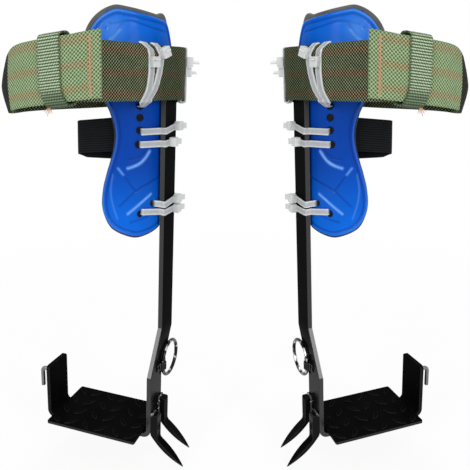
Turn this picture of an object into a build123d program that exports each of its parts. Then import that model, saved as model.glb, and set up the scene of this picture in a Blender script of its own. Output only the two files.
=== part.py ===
"""A pair of tree climbing spikes: two mirrored climbers with shank, plate, spikes, shin pad and calf belt.

Each piece is drawn once in its climber's own frame and then set into the pair, left and mirrored right.
The climber's frame has its origin at the middle of the tread plate's top face, +X towards the other climber,
+Y towards the heel and +Z up the leg. Lengths are millimetres and angles degrees.
"""

import os
from math import cos, radians, sin, tan

from build123d import *

os.makedirs("parts", exist_ok=True)

# Stance of the pair
plate_spacing = 303  # between the middles of the two tread plates
toe_out = 15.9  # how far each climber's toes turn outwards
lean = 2.9  # how far each climber leans towards the other

# Clearances
seat_gap = 0.3  # between pieces that lean on each other
ring_play = 0.35  # round the ring's wire inside its clip

# Tread plate
plate_width = 108
plate_depth = 71
plate_thickness = 3
plate_corner = 2
lug_length = 15
lug_width = 4.6
lug_height = 0.9
lug_pitch = 18.5
lug_pairs = 3  # columns of each lug direction
lug_rows = 4
lug_turn = 45

# Shank
bar_width = 28
bar_thickness = 5
bar_middle = -1  # the lower bar's middle, forward of the plate's middle
foot_bend = 5  # inner radius of the bend under the plate
foot_length = 52  # flat run under the plate
joggle_bottom = 66
joggle_height = 48
joggle_back = 27.4  # how far the upper bar is set towards the heel
joggle_round = 5
shank_top = 398
shank_corner = 6
bar_edge = 0.6  # small round on the long edges

# Outer upright
upright_width = 34
upright_middle = -3
upright_thickness = 4
upright_height = 58
upright_bend = 5.5  # inner radius
upright_foot = 48  # flat run under the plate
upright_corner = 4

# Strap hook
hook_wire = 4.5  # diameter
hook_reach = 10.5  # from the upright's face to the rod's middle
hook_drop = 23
hook_bend = 4
hook_end = 0.9  # round at the rod's free end
hook_height = 50
hook_setback = 8  # from the upright's front edge

# Spikes
spike_width = 9
spike_thickness = 8.5
spike_leg = 25  # straight part on the shank
spike_reach = 38  # tip beyond the shank's face
spike_drop = 34  # tip below the straight part
spike_belly = 2.6  # bulge of the inner edge
spike_back = 1.1  # bulge of the outer edge
spike_shoulder = 5  # the outer edge turns this much lower than the inner
spike_bend = 6
spike_taper = 26  # length over which the sides close to the tip
spike_leaf = 7.4  # width half way along the taper
spike_tip = 1.2
spike_corner = 2
front_spike_top = 22
spike_stagger = 10  # the rear spike stands higher

# Ring and its clip
ring_radius = 19.5  # to the middle of the wire
ring_wire = 4  # diameter
ring_height = 70
clip_setback = 11.5  # the ring's wire behind the lower bar's middle
clip_height = 8
clip_thickness = 1.5
clip_foot = 6.5

# Shin pad
pad_radius = 55  # outer face of the shell, round the leg
pad_setback = 5  # the leg's axis behind the middle of the upper bar
shell_thickness = 2.2
liner_thickness = 5.8
liner_rim = 2.5  # the liner shows this much above, below and behind the shell
liner_front = 0.8  # the liner's slanted front edge starts this much behind the shell's
pad_facing = -35  # direction that the pad's outline is seen from
pad_wrap = 100  # the blank reaches this far round the leg before it is cut to its outline
pad_spare = 20  # the blank's extra height above and below the outline
pad_bottom = 223
lower_lobe_height = 267
neck_height = 328
upper_lobe_height = 421
pad_top = 443.5
lower_lobe_front = 38.5  # front edge, forward of the outline's middle
neck_front = 28.3
upper_lobe_front = 47.6
pad_toe = 10
top_front = 27
lower_lobe_back = 18  # back edge, behind the leg's axis
neck_back = 6
back_neck_height = 324
neck_slack = 2  # the back edge leaves its narrowest place by this much at the ties
upper_lobe_back = 10
upper_back_height = 398  # the back edge reaches furthest here
back_shoulder = 0.5
back_shoulder_height = 426
pad_heel = -36
top_back = -11
pad_shoulder = 8  # how far the top front corner is rounded in
pad_chin = 9  # how far the lower front corner is rounded in
pad_top_fall = 15  # the top edge drops this much over the width of the blank
pad_heel_rise = 5.5  # the lower edge climbs this much over half its run to the back

# Tie holes of the pad: direction that each is cut from, and height
hole_radius = 3.75
upper_hole_angle = -42
spare_hole_height = 344
upper_hole_height = 331.8
middle_hole_height = 317.8
lower_back_angle = -26.5
lower_back_height = 256.5
lower_front_angle = -42
lower_front_height = 247
first_belt_hole = 19.4  # sideways from the leg's axis, towards the toes
second_belt_hole = 9.9
belt_low_hole = 355.5
belt_high_hole = 404

# Nylon ties
tie_width = 7
tie_thickness = 1.3
tie_head = 9.2
tie_head_depth = 6.5
tie_head_round = 1.5
tie_tail = 5
tie_tail_point = 2  # the cut end narrows over this length
tie_tail_end = 3
middle_head_shift = 10  # the middle pad tie's head sits this much further to the front
edge_steps = 400  # places where the pad's back edge is measured beside a tie

# Calf belt
belt_width = 51
belt_thickness = 2.5
belt_height = 383.2  # middle of the belt at the shank's turn
belt_droop = 2  # the loop hangs lower away from the shank
belt_roll = 9.5  # the loop's front run rides higher than its rear run
layer_gap = 0.6
belt_inset = 14.6  # middle of the shank's turn, from the middle of the bar towards the leg
belt_setback = 1.4  # middle of the shank's turn, behind the middle of the upper bar
belt_heading = 244  # direction from the shank's turn to the loop's far end
shank_turn = 25
front_spread = 4.8  # the front run leaves the heading outwards
rear_spread = 5
rear_length = 132
far_turn = 12
far_sweep = 96.3
face_radius = 114  # the far face and the flap bow gently
face_sweep = 47.4
knee_radius = 6
tuck_sweep = 16  # the inner end lies this far round under the far face
rear_tie_angle = 140
rear_tie_step = 20
first_tie_rise = 10  # front tie heads above the belt's middle
second_tie_rise = 19
first_turn_rise = 11  # rear tie heads above the belt's middle
second_turn_rise = 2

# Belt keeper
keeper_length = 18.5
keeper_wall = 1.8
keeper_room = 1.2  # beside the bowed layers
keeper_place = 6.9  # from the knee round the far face

# Elastic band of the pad
band_width = 33
band_thickness = 2
band_bottom = 302
band_root = -51
band_leaves = -62
band_sway = 10  # radius of the turn away from the pad
band_turn = 31
band_reach = 40
band_fold = 4
band_end = 18  # run along the ties at the pad's back edge
band_round = 14

# Places that follow from the sizes above
shank_in = plate_width / 2 + foot_bend
shank_out = shank_in + bar_thickness
bar_front = bar_middle - bar_width / 2
bar_back = bar_middle + bar_width / 2
upper_middle = bar_middle + joggle_back
upper_front = bar_front + joggle_back
upper_back = bar_back + joggle_back
joggle_top = joggle_bottom + joggle_height
leg_x = shank_in - seat_gap - pad_radius
leg_y = upper_middle + pad_setback
liner_face = pad_radius - shell_thickness
pad_face = liner_face - liner_thickness
neck_edge = neck_back + neck_slack
left_stance = Location((-plate_spacing / 2, 0, 0), (0, lean, -toe_out))


def set_into_pair(piece, name):
    """Turns a piece of one climber into its left and right copies and writes both."""
    left = piece.moved(left_stance)
    right = mirror(left, about=Plane.YZ)
    left.label = f"left_{name}"
    right.label = f"right_{name}"
    export_step(left, f"parts/left_{name}.step")
    export_step(right, f"parts/right_{name}.step")


def round_leg(radius, angle):
    """A plan point at a distance from the leg's axis, turned round it."""
    return (leg_x + radius * cos(radians(angle)), leg_y + radius * sin(radians(angle)))


# Tread plate with its raised lugs
with BuildSketch() as lug:
    with BuildLine():
        lug_side = ThreePointArc((-lug_length / 2, 0), (0, lug_width / 2), (lug_length / 2, 0))
        mirror(lug_side, about=Plane.XZ)
    make_face()

with BuildPart() as tread_plate:
    with BuildSketch(Plane.XY.offset(-plate_thickness)):
        RectangleRounded(plate_width, plate_depth, plate_corner)
    extrude(amount=plate_thickness)
    with BuildSketch():
        for side in (-1, 1):
            with Locations((side * lug_pitch / 2, 0)):
                with GridLocations(2 * lug_pitch, lug_pitch, lug_pairs, lug_rows):
                    add(lug.sketch, rotation=side * lug_turn)
    extrude(amount=lug_height)

# Shank: a joggled flat bar whose lower end bends under the plate
with BuildPart() as shank:
    with BuildSketch(Plane.YZ.offset(shank_in)) as bar_face:
        with BuildLine():
            slant = joggle_back / joggle_height
            drop = bar_width * ((1 + slant**2) ** 0.5 - 1) / slant
            Polyline(
                (bar_front, foot_bend - plate_thickness),
                (bar_front, joggle_bottom),
                (upper_front, joggle_top),
                (upper_front, shank_top),
                (upper_back, shank_top),
                (upper_back, joggle_top - drop),
                (bar_back, joggle_bottom - drop),
                (bar_back, foot_bend - plate_thickness),
                close=True,
            )
        make_face()
        bends = bar_face.vertices().sort_by(Axis.Y)
        fillet(bends[2:-2], joggle_round)
        fillet(bar_face.vertices().sort_by(Axis.Y)[-2:], shank_corner)
    extrude(amount=bar_thickness)
    with BuildSketch(Plane.XZ.offset(-bar_back)):
        with BuildLine():
            bend_middle = (shank_in - foot_bend, foot_bend - plate_thickness)
            heel = CenterArc(bend_middle, foot_bend + bar_thickness, -90, 90)
            sole = CenterArc(bend_middle, foot_bend, -90, 90)
            Line(heel @ 1, sole @ 1)
            toe_low = (bend_middle[0] - foot_length, -plate_thickness - bar_thickness)
            toe_high = (bend_middle[0] - foot_length, -plate_thickness)
            Polyline(heel @ 0, toe_low, toe_high, sole @ 0)
        make_face()
    extrude(amount=bar_width)
    fillet(shank.faces().sort_by(Axis.X)[-1].edges(), bar_edge)

# Outer upright: wide flat steel bent up from under the plate
with BuildPart() as outer_upright:
    with BuildSketch(Plane.XZ.offset(-upright_middle - upright_width / 2)):
        with BuildLine():
            turn_middle = (-plate_width / 2, upright_bend - plate_thickness)
            outside = CenterArc(turn_middle, upright_bend + upright_thickness, 180, 90)
            inside = CenterArc(turn_middle, upright_bend, 180, 90)
            Polyline(
                outside @ 0,
                (turn_middle[0] - upright_bend - upright_thickness, upright_height),
                (turn_middle[0] - upright_bend, upright_height),
                inside @ 0,
            )
            Polyline(
                outside @ 1,
                (turn_middle[0] + upright_foot, -plate_thickness - upright_thickness),
                (turn_middle[0] + upright_foot, -plate_thickness),
                inside @ 1,
            )
        make_face()
    extrude(amount=upright_width)
    fillet(outer_upright.edges().filter_by(Axis.X).group_by(Axis.Z)[-1], upright_corner)

# Strap hook: a rod bent down outside the upright
upright_face = -plate_width / 2 - upright_bend - upright_thickness
hook_y = upright_middle - upright_width / 2 + hook_setback
with BuildPart() as strap_hook:
    with BuildLine():
        FilletPolyline(
            (upright_face, hook_y, hook_height),
            (upright_face - hook_reach, hook_y, hook_height),
            (upright_face - hook_reach, hook_y, hook_height - hook_drop),
            radius=hook_bend,
        )
    with BuildSketch(Plane((upright_face, hook_y, hook_height), z_dir=(-1, 0, 0))):
        Circle(hook_wire / 2)
    sweep()
    fillet(strap_hook.faces().sort_by(Axis.Z)[0].edges(), hook_end)


def spike(middle, top):
    """A forged spike: a straight leg on the shank's outer face and a leaf-shaped point bent outwards."""
    bend_height = top - spike_leg
    root = Vector(shank_out, bend_height)
    shoulder = Vector(shank_out + spike_thickness, bend_height - spike_shoulder)
    tip = Vector(shank_out + spike_reach, bend_height - spike_drop)
    belly = (root + tip) / 2 + (tip - root).normalized().rotate(Axis.Z, -90) * spike_belly
    back = (shoulder + tip) / 2 + (tip - shoulder).normalized().rotate(Axis.Z, 90) * spike_back
    with BuildPart() as forged:
        with BuildSketch(Plane((0, middle, 0), x_dir=(1, 0, 0), z_dir=(0, -1, 0))) as side:
            with BuildLine():
                ThreePointArc(root, belly, tip)
                ThreePointArc(tip, back, shoulder)
                Polyline(shoulder, (shoulder.X, top), (root.X, top), root)
            make_face()
            low_turn = bend_height - 2 * spike_shoulder
            fillet(side.vertices().filter_by_position(Axis.Y, low_turn, bend_height), spike_bend)
            fillet(side.vertices().sort_by(Axis.Y)[-2:].sort_by(Axis.X)[-1], spike_corner)
        extrude(amount=spike_width / 2, both=True)
        with BuildSketch(Plane((shank_out, middle, 0), x_dir=(0, 1, 0), z_dir=(1, 0, 0))):
            with BuildLine():
                start = (spike_width / 2, tip.Y + spike_taper)
                middle_way = (spike_leaf / 2, tip.Y + spike_taper / 2)
                end = (spike_tip / 2, tip.Y)
                flank = ThreePointArc(start, middle_way, end)
                other = mirror(flank, about=Plane.YZ)
                Line(flank @ 1, other @ 1)
                Polyline(flank @ 0, (spike_width / 2, top), (-spike_width / 2, top), other @ 0)
            make_face()
        extrude(amount=spike_reach, mode=Mode.INTERSECT)
    return forged.part


front_spike = spike(bar_front + spike_width / 2, front_spike_top)
rear_spike = spike(bar_back - spike_width / 2, front_spike_top + spike_stagger)

# Ring and the clip that holds its wire against the shank's outer face
wire_x = shank_out + seat_gap + ring_wire / 2
wire_y = bar_middle + clip_setback
wire_sag = clip_height**2 / (8 * ring_radius)
with BuildPart(Plane((wire_x, wire_y + ring_radius, ring_height), z_dir=(1, 0, 0))) as ring:
    Torus(ring_radius, ring_wire / 2)

with BuildPart() as ring_clip:
    with BuildSketch(Plane.XY.offset(ring_height - clip_height / 2)):
        with BuildLine():
            bow = ring_wire / 2 + wire_sag + ring_play + clip_thickness / 2
            strap_x = shank_out + clip_thickness / 2
            Polyline(
                (strap_x, wire_y - bow - clip_foot),
                (strap_x, wire_y - bow),
                (wire_x, wire_y - bow),
            )
            ThreePointArc((wire_x, wire_y - bow), (wire_x + bow, wire_y), (wire_x, wire_y + bow))
            Polyline(
                (wire_x, wire_y + bow),
                (strap_x, wire_y + bow),
                (strap_x, wire_y + bow + clip_foot),
            )
        trace(line_width=clip_thickness)
    extrude(amount=clip_height)

# Shin pad: moulded shell and foam liner, both cut to the sole-like outline
pad_view = Plane(
    (leg_x, leg_y, 0),
    x_dir=(-sin(radians(pad_facing)), cos(radians(pad_facing)), 0),
    z_dir=(cos(radians(pad_facing)), sin(radians(pad_facing)), 0),
)
belt_facing = belt_heading + front_spread + 90
tie_holes = [
    (upper_hole_angle, 0, spare_hole_height),
    (upper_hole_angle, 0, upper_hole_height),
    (upper_hole_angle, 0, middle_hole_height),
    (lower_back_angle, 0, lower_back_height),
    (lower_front_angle, 0, lower_front_height),
    (belt_facing, first_belt_hole, belt_low_hole),
    (belt_facing, first_belt_hole, belt_high_hole),
    (belt_facing, second_belt_hole, belt_low_hole),
    (belt_facing, second_belt_hole, belt_high_hole),
]


def beside_leg(facing, shift):
    """A plan point beside the leg's axis, to the toes' side of a direction."""
    return (leg_x + shift * sin(radians(facing)), leg_y - shift * cos(radians(facing)))


def back_points(rim):
    """The pad's back edge from heel to top, seen from the side, widened by a rim."""
    return [
        (pad_heel, pad_bottom - rim),
        (pad_heel / 2, pad_bottom + pad_heel_rise - rim),
        (lower_lobe_back + rim, lower_lobe_height),
        (neck_back + rim, back_neck_height),
        (upper_lobe_back + rim, upper_back_height),
        (back_shoulder + rim, back_shoulder_height),
        (top_back, pad_top + rim),
    ]


def pad_panel(inner, outer, rim, front):
    """One layer of the pad between two radii, its outline widened by a rim and set back in front."""
    with BuildPart() as panel:
        with BuildSketch(Plane.XY.offset(pad_bottom - pad_spare)):
            with BuildLine():
                outside = CenterArc((leg_x, leg_y), outer, -pad_wrap, pad_wrap)
                inside = CenterArc((leg_x, leg_y), inner, -pad_wrap, pad_wrap)
                Line(outside @ 0, inside @ 0)
                Polyline(
                    outside @ 1,
                    (leg_x + outer, leg_y + pad_radius),
                    (leg_x + inner, leg_y + pad_radius),
                    inside @ 1,
                )
            make_face()
        extrude(amount=pad_top - pad_bottom + 2 * pad_spare)
        with BuildSketch(pad_view):
            with BuildLine():
                front_edge = Spline(
                    (-pad_toe, pad_bottom - rim),
                    (pad_chin - lower_lobe_front + front, pad_bottom + pad_chin - rim),
                    (front - lower_lobe_front, lower_lobe_height),
                    (front - neck_front, neck_height),
                    (front - upper_lobe_front, upper_lobe_height),
                    (pad_shoulder - upper_lobe_front + front, pad_top - pad_shoulder + rim),
                    (-top_front, pad_top + rim),
                )
                Polyline(
                    front_edge @ 1,
                    (2 * pad_radius, pad_top + rim - pad_top_fall),
                    (2 * pad_radius, pad_bottom - rim),
                    front_edge @ 0,
                )
            make_face()
        extrude(amount=2 * pad_radius, mode=Mode.INTERSECT)
        with BuildSketch(Plane((leg_x, leg_y, 0), x_dir=(0, 1, 0), z_dir=(1, 0, 0))):
            with BuildLine():
                back_edge = Spline(*back_points(rim))
                Polyline(
                    back_edge @ 1,
                    (-2 * pad_radius, pad_top + rim),
                    (-2 * pad_radius, pad_bottom - rim),
                    back_edge @ 0,
                )
            make_face()
        extrude(amount=2 * pad_radius, both=True, mode=Mode.INTERSECT)
        for angle, shift, height in tie_holes:
            facing = (cos(radians(angle)), sin(radians(angle)), 0)
            with BuildSketch(Plane((*beside_leg(angle, shift), height), z_dir=facing)):
                Circle(hole_radius)
            extrude(amount=2 * pad_radius, mode=Mode.SUBTRACT)
    return panel.part


pad_shell = pad_panel(liner_face, pad_radius, 0, 0)
pad_liner = pad_panel(pad_face, liner_face, liner_rim, liner_front)


def tie(plane, corners, head, outward):
    """A nylon tie drawn tight round its corners, with its head on the outside and a short cut tail."""
    with BuildPart() as strap:
        with BuildSketch(plane):
            with BuildLine():
                Polyline(*corners, close=True)
            make_face()
            offset(amount=tie_thickness, kind=Kind.ARC)
            with BuildLine():
                Polyline(*corners, close=True)
            make_face(mode=Mode.SUBTRACT)
        extrude(amount=tie_width / 2, both=True)
        away = Vector(*outward)
        along = away.rotate(Axis.Z, 90)
        seat = Vector(*head)
        foot = plane.from_local_coords(seat)
        out = plane.from_local_coords(seat + away) - foot
        across = plane.from_local_coords(seat + along) - foot
        with BuildSketch(Plane(foot, x_dir=across, z_dir=out)):
            RectangleRounded(tie_head, tie_head, tie_head_round)
        extrude(amount=tie_head_depth)
        with BuildSketch(Plane(foot + out * tie_head_depth, x_dir=out, z_dir=across)):
            with BuildLine():
                Polyline(
                    (0, -tie_width / 2),
                    (tie_tail - tie_tail_point, -tie_width / 2),
                    (tie_tail, -tie_tail_end / 2),
                    (tie_tail, tie_tail_end / 2),
                    (tie_tail - tie_tail_point, tie_width / 2),
                    (0, tie_width / 2),
                    close=True,
                )
            make_face()
        extrude(amount=tie_thickness / 2, both=True)
    return strap.part


def lobe_edge(height):
    """The lower lobe's back edge for a tie: its widest place, or what bulges further beside the tie."""
    spots = Spline(*back_points(liner_rim)).positions([step / edge_steps for step in range(edge_steps + 1)])
    beside = [spot.X - liner_rim for spot in spots if abs(spot.Y - height) < tie_width / 2]
    return max([lower_lobe_back, *beside])


def pad_tie(angle, height, back, head_shift):
    """A tie through one hole of the pad, round the shank and round the pad's back edge."""
    edge = leg_y + back + liner_rim + seat_gap
    corners = [
        round_leg(pad_radius + seat_gap, angle),
        (shank_in, upper_front - seat_gap),
        (shank_out + seat_gap, upper_front - seat_gap),
        (shank_out + seat_gap, upper_back + seat_gap),
        (leg_x + pad_radius, edge),
        (leg_x + pad_face - seat_gap, edge),
        round_leg(pad_face - seat_gap, angle),
    ]
    head = (shank_out + seat_gap, upper_back - tie_head / 2 - head_shift)
    return tie(Plane.XY.offset(height), corners, head, (1, 0))


# Calf belt: one strip from its tucked end round the shank, round the far end and back as the flap
heading = Vector(1, 0, 0).rotate(Axis.Z, belt_heading)
frontward = Vector(0, 1, 0).rotate(Axis.Z, belt_heading)
fall = tan(radians(belt_droop))
belt_plane = Plane(
    (shank_in + bar_thickness / 2 - belt_inset, upper_middle + belt_setback, belt_height),
    x_dir=heading - Vector(0, 0, fall),
    z_dir=Vector(0, 0, 1) + heading * fall - frontward * tan(radians(belt_roll)),
)
layer_step = belt_thickness + layer_gap
front_run = Vector(1, 0).rotate(Axis.Z, front_spread)
front_normal = Vector(0, 1).rotate(Axis.Z, front_spread)
front_start = front_normal * shank_turn
rear_start = Vector(0, -shank_turn).rotate(Axis.Z, -rear_spread)
with BuildPart() as calf_belt:
    with BuildSketch(belt_plane):
        with BuildLine():
            rear_stop = rear_start + Vector(rear_length, 0).rotate(Axis.Z, -rear_spread)
            rear_run = Line(rear_start, rear_stop)
            far_end = JernArc(rear_run @ 1, rear_run % 1, far_turn, far_sweep)
            far_face = JernArc(far_end @ 1, far_end % 1, face_radius, face_sweep)
            ThreePointArc(rear_start, (-shank_turn, 0), front_start)
            face_middle = far_face.arc_center
            inner_radius = face_radius - layer_step
            from_middle = front_start - face_middle
            along = from_middle.dot(front_run)
            knee_run = (inner_radius**2 - from_middle.length**2 + along**2) ** 0.5 - along
            knee_arm = from_middle + front_run * knee_run
            tuck_end = face_middle + knee_arm.rotate(Axis.Z, -tuck_sweep)
            FilletPolyline(front_start, face_middle + knee_arm, tuck_end, radius=knee_radius)
        trace(line_width=belt_thickness)
    extrude(amount=belt_width / 2, dir=(0, 0, 1), both=True)


def in_belt(point):
    """The place of a point of the belt's plan."""
    return belt_plane.from_local_coords(point)


def level(direction):
    """A direction of the belt's plan, laid level."""
    sloped = in_belt(direction) - belt_plane.origin
    return Vector(sloped.X, sloped.Y).normalized()


# Belt keeper: a webbing loop round the far face and the inner end under it
layers_out = knee_arm.normalized().rotate(Axis.Z, -keeper_place)
layers_along = layers_out.rotate(Axis.Z, -90)
layers_middle = face_middle + layers_out * (face_radius - layer_step / 2 - keeper_room / 2)
keeper_slope = in_belt(layers_along) - belt_plane.origin
with BuildPart() as belt_keeper:
    along = level(layers_along)
    with BuildSketch(Plane(in_belt(layers_middle), x_dir=along.cross(Vector(0, 0, -1)), z_dir=along)):
        layers = layer_step + belt_thickness + keeper_room
        Rectangle(layers + 2 * (seat_gap + keeper_wall), belt_width + 2 * (seat_gap + keeper_wall))
        Rectangle(layers + 2 * seat_gap, belt_width + 2 * seat_gap, mode=Mode.SUBTRACT)
    extrude(amount=keeper_length / 2, dir=keeper_slope, both=True)


def front_belt_tie(shift, head_rise):
    """A tie through a low and a high hole of the pad and round the front run of the belt."""
    facing = Vector(1, 0, 0).rotate(Axis.Z, belt_facing)
    plane = Plane((*beside_leg(belt_facing, shift), 0), x_dir=facing, z_dir=facing.cross(Vector(0, 0, 1)))
    start = plane.to_local_coords(in_belt(front_start))
    run = plane.to_local_coords(in_belt(front_start + front_run)) - start
    middle = start - run * (start.Z / run.Z)
    half = belt_thickness / 2 + seat_gap
    top = middle.Y + belt_width / 2 + seat_gap
    bottom = middle.Y - belt_width / 2 - seat_gap
    inner = (pad_face**2 - (shift + tie_width / 2) ** 2) ** 0.5 - seat_gap
    outer = (pad_radius**2 - (shift - tie_width / 2) ** 2) ** 0.5 + tie_thickness
    corners = [
        (inner, belt_low_hole),
        (inner, belt_high_hole),
        (outer, belt_high_hole),
        (middle.X - half, top),
        (middle.X + half, top),
        (middle.X + half, bottom),
        (outer, belt_low_hole),
    ]
    return tie(plane, corners, (middle.X + half, middle.Y + head_rise), (1, 0))


def rear_belt_tie(angle, head_rise):
    """A tie round the belt's webbing on the turn behind the shank."""
    out = Vector(1, 0).rotate(Axis.Z, angle)
    side = level(out)
    foot = in_belt(out * shank_turn) - side * shank_turn
    low = shank_turn - belt_thickness / 2 - seat_gap - tie_width**2 / (8 * shank_turn)
    high = shank_turn + belt_thickness / 2 + seat_gap
    reach = belt_width / 2 + seat_gap + tie_width / 2 * tan(radians(belt_roll))
    corners = [(low, -reach), (high, -reach), (high, reach), (low, reach)]
    plane = Plane(foot, x_dir=side, z_dir=side.cross(Vector(0, 0, 1)))
    return tie(plane, corners, (high, head_rise), (1, 0))


# Elastic band: leaves the back of the pad, folds beside the leg and returns to the pad's back edge
band_radius = pad_face - seat_gap - band_thickness / 2
tie_back = Vector(leg_x + pad_face - seat_gap, leg_y + neck_edge + liner_rim + seat_gap)
tie_line = (tie_back - Vector(*round_leg(pad_face - seat_gap, upper_hole_angle))).normalized()
band_stop = tie_back + tie_line.rotate(Axis.Z, 90) * (tie_thickness + seat_gap + band_thickness / 2)
with BuildPart() as elastic_band:
    with BuildSketch(Plane.XY.offset(band_bottom)):
        with BuildLine():
            hug = CenterArc((leg_x, leg_y), band_radius, band_root, band_leaves - band_root)
            sway = JernArc(hug @ 1, hug % 1, band_sway, -band_turn)
            out_run = Line(sway @ 1, sway @ 1 + (sway % 1) * band_reach)
            fold = JernArc(out_run @ 1, out_run % 1, band_fold, -180)
            FilletPolyline(
                fold @ 1,
                band_stop - tie_line * band_end,
                band_stop,
                radius=band_round,
            )
        trace(line_width=band_thickness)
    extrude(amount=band_width)

set_into_pair(tread_plate.part, "tread_plate")
set_into_pair(shank.part, "shank")
set_into_pair(outer_upright.part, "outer_upright")
set_into_pair(strap_hook.part, "strap_hook")
set_into_pair(front_spike, "front_spike")
set_into_pair(rear_spike, "rear_spike")
set_into_pair(ring_clip.part, "ring_clip")
set_into_pair(ring.part, "ring")
set_into_pair(pad_shell, "pad_shell")
set_into_pair(pad_liner, "pad_liner")
set_into_pair(elastic_band.part, "elastic_band")
set_into_pair(calf_belt.part, "calf_belt")
set_into_pair(belt_keeper.part, "belt_keeper")
upper_pad_tie = pad_tie(upper_hole_angle, upper_hole_height, neck_edge, 0)
middle_pad_tie = pad_tie(upper_hole_angle, middle_hole_height, neck_edge, middle_head_shift)
lower_back_pad_tie = pad_tie(lower_back_angle, lower_back_height, lobe_edge(lower_back_height), 0)
lower_front_pad_tie = pad_tie(lower_front_angle, lower_front_height, lobe_edge(lower_front_height), 0)
set_into_pair(upper_pad_tie, "upper_pad_tie")
set_into_pair(middle_pad_tie, "middle_pad_tie")
set_into_pair(lower_back_pad_tie, "lower_back_pad_tie")
set_into_pair(lower_front_pad_tie, "lower_front_pad_tie")
set_into_pair(front_belt_tie(first_belt_hole, first_tie_rise), "first_belt_tie")
set_into_pair(front_belt_tie(second_belt_hole, second_tie_rise), "second_belt_tie")
set_into_pair(rear_belt_tie(rear_tie_angle, first_turn_rise), "first_turn_tie")
set_into_pair(rear_belt_tie(rear_tie_angle + rear_tie_step, second_turn_rise), "second_turn_tie")
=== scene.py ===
import math
import random

import bmesh
import bpy
import numpy as np
from mathutils import Matrix, Vector, noise
from mathutils.kdtree import KDTree


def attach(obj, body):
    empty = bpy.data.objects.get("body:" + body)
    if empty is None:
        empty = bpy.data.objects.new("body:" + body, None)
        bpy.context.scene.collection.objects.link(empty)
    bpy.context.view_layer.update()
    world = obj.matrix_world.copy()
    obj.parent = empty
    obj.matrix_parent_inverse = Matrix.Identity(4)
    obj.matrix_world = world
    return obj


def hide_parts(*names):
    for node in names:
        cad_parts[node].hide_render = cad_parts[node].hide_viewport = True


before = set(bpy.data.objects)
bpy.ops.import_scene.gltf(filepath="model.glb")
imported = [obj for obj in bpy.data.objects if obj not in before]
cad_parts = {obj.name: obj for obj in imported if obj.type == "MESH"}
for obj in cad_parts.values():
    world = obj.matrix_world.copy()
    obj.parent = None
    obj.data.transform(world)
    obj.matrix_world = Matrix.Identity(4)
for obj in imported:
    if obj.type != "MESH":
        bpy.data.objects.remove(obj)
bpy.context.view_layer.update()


# Steel frame: shank, tread plate, outer upright, spikes and ring clip of each climber.
# Flat mild steel, cut, bent and welded, then sprayed with black enamel.
# The narrow sheared sides of the bars carry more gloss coat and are painted a lighter grey as a painted
# highlight, and the steel shows grey along the rubbed edges.
class Tone:
    """A socket in a material's tree. Arithmetic on it adds Math nodes."""

    def __init__(self, finish, socket):
        self.finish = finish
        self.socket = socket

    def math(self, operation, *values):
        settings = {"operation": operation}
        return self.finish.node("ShaderNodeMath", settings, dict(enumerate(values)))

    def __add__(self, other):
        return self.math("ADD", self, other)

    def __radd__(self, other):
        return self.math("ADD", other, self)

    def __sub__(self, other):
        return self.math("SUBTRACT", self, other)

    def __rsub__(self, other):
        return self.math("SUBTRACT", other, self)

    def __mul__(self, other):
        return self.math("MULTIPLY", self, other)

    def __rmul__(self, other):
        return self.math("MULTIPLY", other, self)

    def __abs__(self):
        return self.math("ABSOLUTE", self)


class Finish:
    """One material: its shader and the nodes that feed it."""

    def __init__(self, name, constants):
        self.material = bpy.data.materials.new(name)
        self.material.use_nodes = True
        self.tree = self.material.node_tree
        self.shader = self.tree.nodes["Principled BSDF"]
        for socket, value in constants.items():
            self.shader.inputs[socket].default_value = value

    def node(self, kind, settings=None, inputs=None, out=0):
        """Any node: its settings first, then the values or links of its sockets."""
        made = self.tree.nodes.new(kind)
        for key, value in (settings or {}).items():
            setattr(made, key, value)
        for key, value in (inputs or {}).items():
            if isinstance(value, Tone):
                self.tree.links.new(value.socket, made.inputs[key])
            elif isinstance(value, tuple) and made.inputs[key].type == "RGBA":
                made.inputs[key].default_value = (*value, 1)
            else:
                made.inputs[key].default_value = value
        return Tone(self, made.outputs[out])

    def place(self):
        return self.node("ShaderNodeTexCoord", out="Object")

    def part(self, vector, axis):
        """One of a vector's three numbers."""
        return self.node("ShaderNodeSeparateXYZ", None, {"Vector": vector}, axis)

    def grain(self, size, detail=2.0):
        """Noise whose features are about that many metres across."""
        inputs = {"Vector": self.place(), "Scale": 1 / size, "Detail": detail}
        return self.node("ShaderNodeTexNoise", None, inputs)

    def rise(self, value, low, high):
        """0 below low, 1 above high and smooth between."""
        settings = {"interpolation_type": "SMOOTHSTEP"}
        return self.node("ShaderNodeMapRange", settings, {0: value, 1: low, 2: high})

    def blend(self, amount, first, second):
        """A colour between two, by an amount from 0 to 1."""
        settings = {"data_type": "RGBA"}
        return self.node("ShaderNodeMix", settings, {0: amount, 6: first, 7: second}, 2)

    def feed(self, socket, tone):
        self.tree.links.new(tone.socket, self.shader.inputs[socket])

    def relief(self, height, depth, strength=1.0, normal=None):
        """Bumps of that depth in metres where the height goes from 0 to 1."""
        inputs = {"Height": height, "Distance": depth, "Strength": strength}
        if normal:
            inputs["Normal"] = normal
        self.feed("Normal", self.node("ShaderNodeBump", None, inputs))

    def paint(self, *nodes):
        """Gives the finish to CAD nodes of both climbers."""
        for name in nodes:
            for side in ("left", "right"):
                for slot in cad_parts[f"{side}_{name}"].material_slots:
                    slot.material = self.material


def metal(name, constants, edge_radius, wear):
    """A metal's finish, with its rounded edges, where they are rubbed, and a cloudy shade."""
    scratch_size, cloud_size = 0.006, 0.03
    finish = Finish(name, constants)
    rounded = finish.node("ShaderNodeBevel", {"samples": 6}, {"Radius": edge_radius})
    flat = finish.node("ShaderNodeNewGeometry", out="Normal")
    level = finish.node("ShaderNodeVectorMath", {"operation": "DOT_PRODUCT"}, {0: rounded, 1: flat}, "Value")
    rubbed = finish.rise((1 - level) * finish.grain(scratch_size, 4), wear, wear * 4)
    return finish, rounded, rubbed, finish.grain(cloud_size, 3)


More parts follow.
